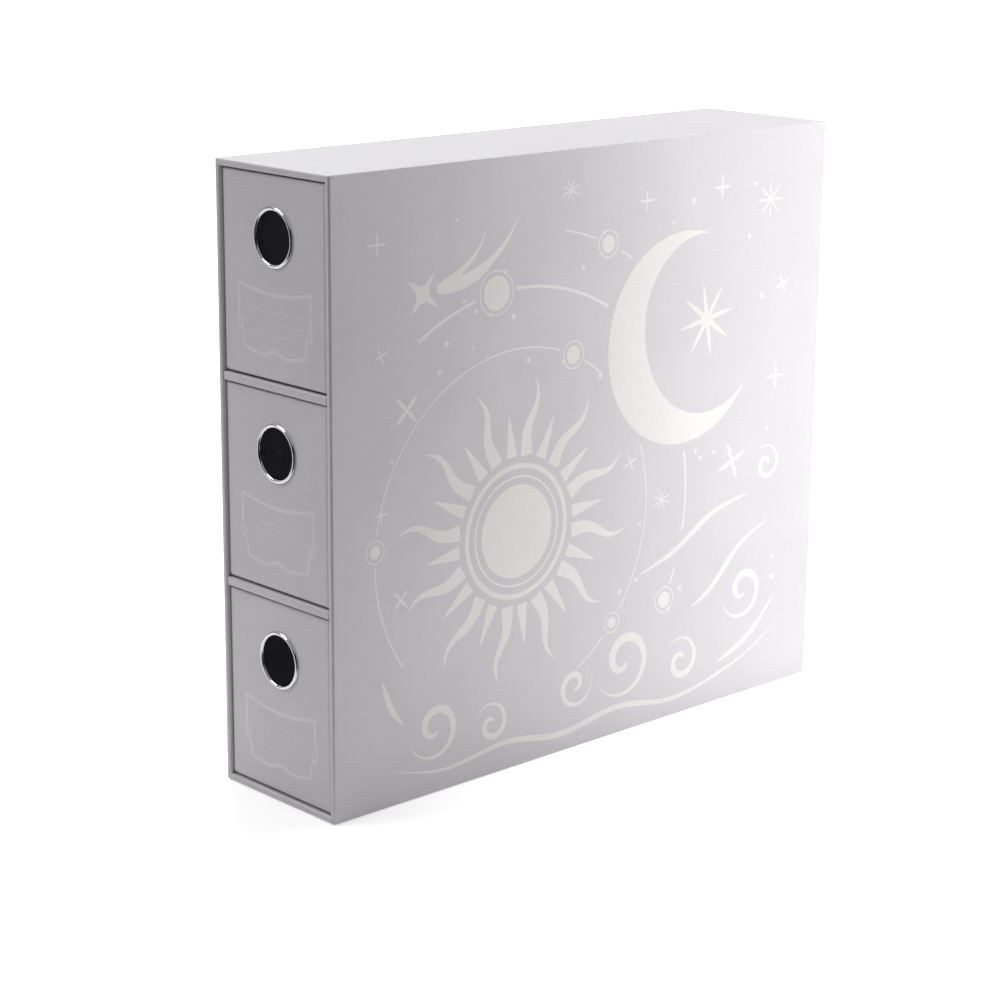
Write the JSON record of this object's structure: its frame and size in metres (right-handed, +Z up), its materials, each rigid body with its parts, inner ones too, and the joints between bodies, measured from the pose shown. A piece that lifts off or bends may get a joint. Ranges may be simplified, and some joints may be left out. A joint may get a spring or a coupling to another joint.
{
  "type": "trading card drawer box",
  "caption": "Tall narrow paper-wrapped board cabinet with stacked sliding card drawers in its narrow front, each with a round metal finger ring.",
  "frame": {"origin": "centre of the base, on the surface that the box stands on", "axes": "+Z up, -Y out of the drawer fronts, +X to the right seen from the front"},
  "size_m": [0.084, 0.343, 0.31],
  "materials": {
    "cover_paper": "satin pearl cover paper",
    "sheet_paper": "satin pearl paper sheet",
    "lining_paper": "matte dark lining paper",
    "greyboard": "bare greyboard",
    "ring_chrome": "polished chrome plate",
    "washer_steel": "plain plated steel"
  },
  "bodies": {
    "cabinet": {"top_board": "greyboard", "bottom_board": "greyboard", "left_side_board": "greyboard", "right_side_board": "greyboard", "back_board": "greyboard", "outer_wrap": "cover_paper", "base_sheet": "sheet_paper", "back_sheet": "sheet_paper", "cabinet_lining": "lining_paper", "upper_shelf_board": "greyboard", "lower_shelf_board": "greyboard", "upper_shelf_wrap": "cover_paper", "lower_shelf_wrap": "cover_paper", "upper_shelf_lining": "lining_paper", "lower_shelf_lining": "lining_paper"},
    "bottom_drawer": {"bottom_drawer_front_board": "greyboard", "bottom_drawer_left_wall": "greyboard", "bottom_drawer_right_wall": "greyboard", "bottom_drawer_back_wall": "greyboard", "bottom_drawer_base_board": "greyboard", "bottom_drawer_front_cover": "cover_paper", "bottom_drawer_tray_wrap": "cover_paper", "bottom_drawer_tray_lining": "lining_paper", "bottom_drawer_finger_ring": "ring_chrome", "bottom_drawer_ring_washer": "washer_steel"},
    "middle_drawer": {"middle_drawer_front_board": "greyboard", "middle_drawer_left_wall": "greyboard", "middle_drawer_right_wall": "greyboard", "middle_drawer_back_wall": "greyboard", "middle_drawer_base_board": "greyboard", "middle_drawer_front_cover": "cover_paper", "middle_drawer_tray_wrap": "cover_paper", "middle_drawer_tray_lining": "lining_paper", "middle_drawer_finger_ring": "ring_chrome", "middle_drawer_ring_washer": "washer_steel"},
    "top_drawer": {"top_drawer_front_board": "greyboard", "top_drawer_left_wall": "greyboard", "top_drawer_right_wall": "greyboard", "top_drawer_back_wall": "greyboard", "top_drawer_base_board": "greyboard", "top_drawer_front_cover": "cover_paper", "top_drawer_tray_wrap": "cover_paper", "top_drawer_tray_lining": "lining_paper", "top_drawer_finger_ring": "ring_chrome", "top_drawer_ring_washer": "washer_steel"}
  },
  "joints": [
    {"name": "bottom_drawer_slide", "type": "slide", "parent": "cabinet", "child": "bottom_drawer", "axis": [0, -1, 0], "range_m": [0, 0.341]},
    {"name": "middle_drawer_slide", "type": "slide", "parent": "cabinet", "child": "middle_drawer", "axis": [0, -1, 0], "range_m": [0, 0.341]},
    {"name": "top_drawer_slide", "type": "slide", "parent": "cabinet", "child": "top_drawer", "axis": [0, -1, 0], "range_m": [0, 0.341]}
  ]
}
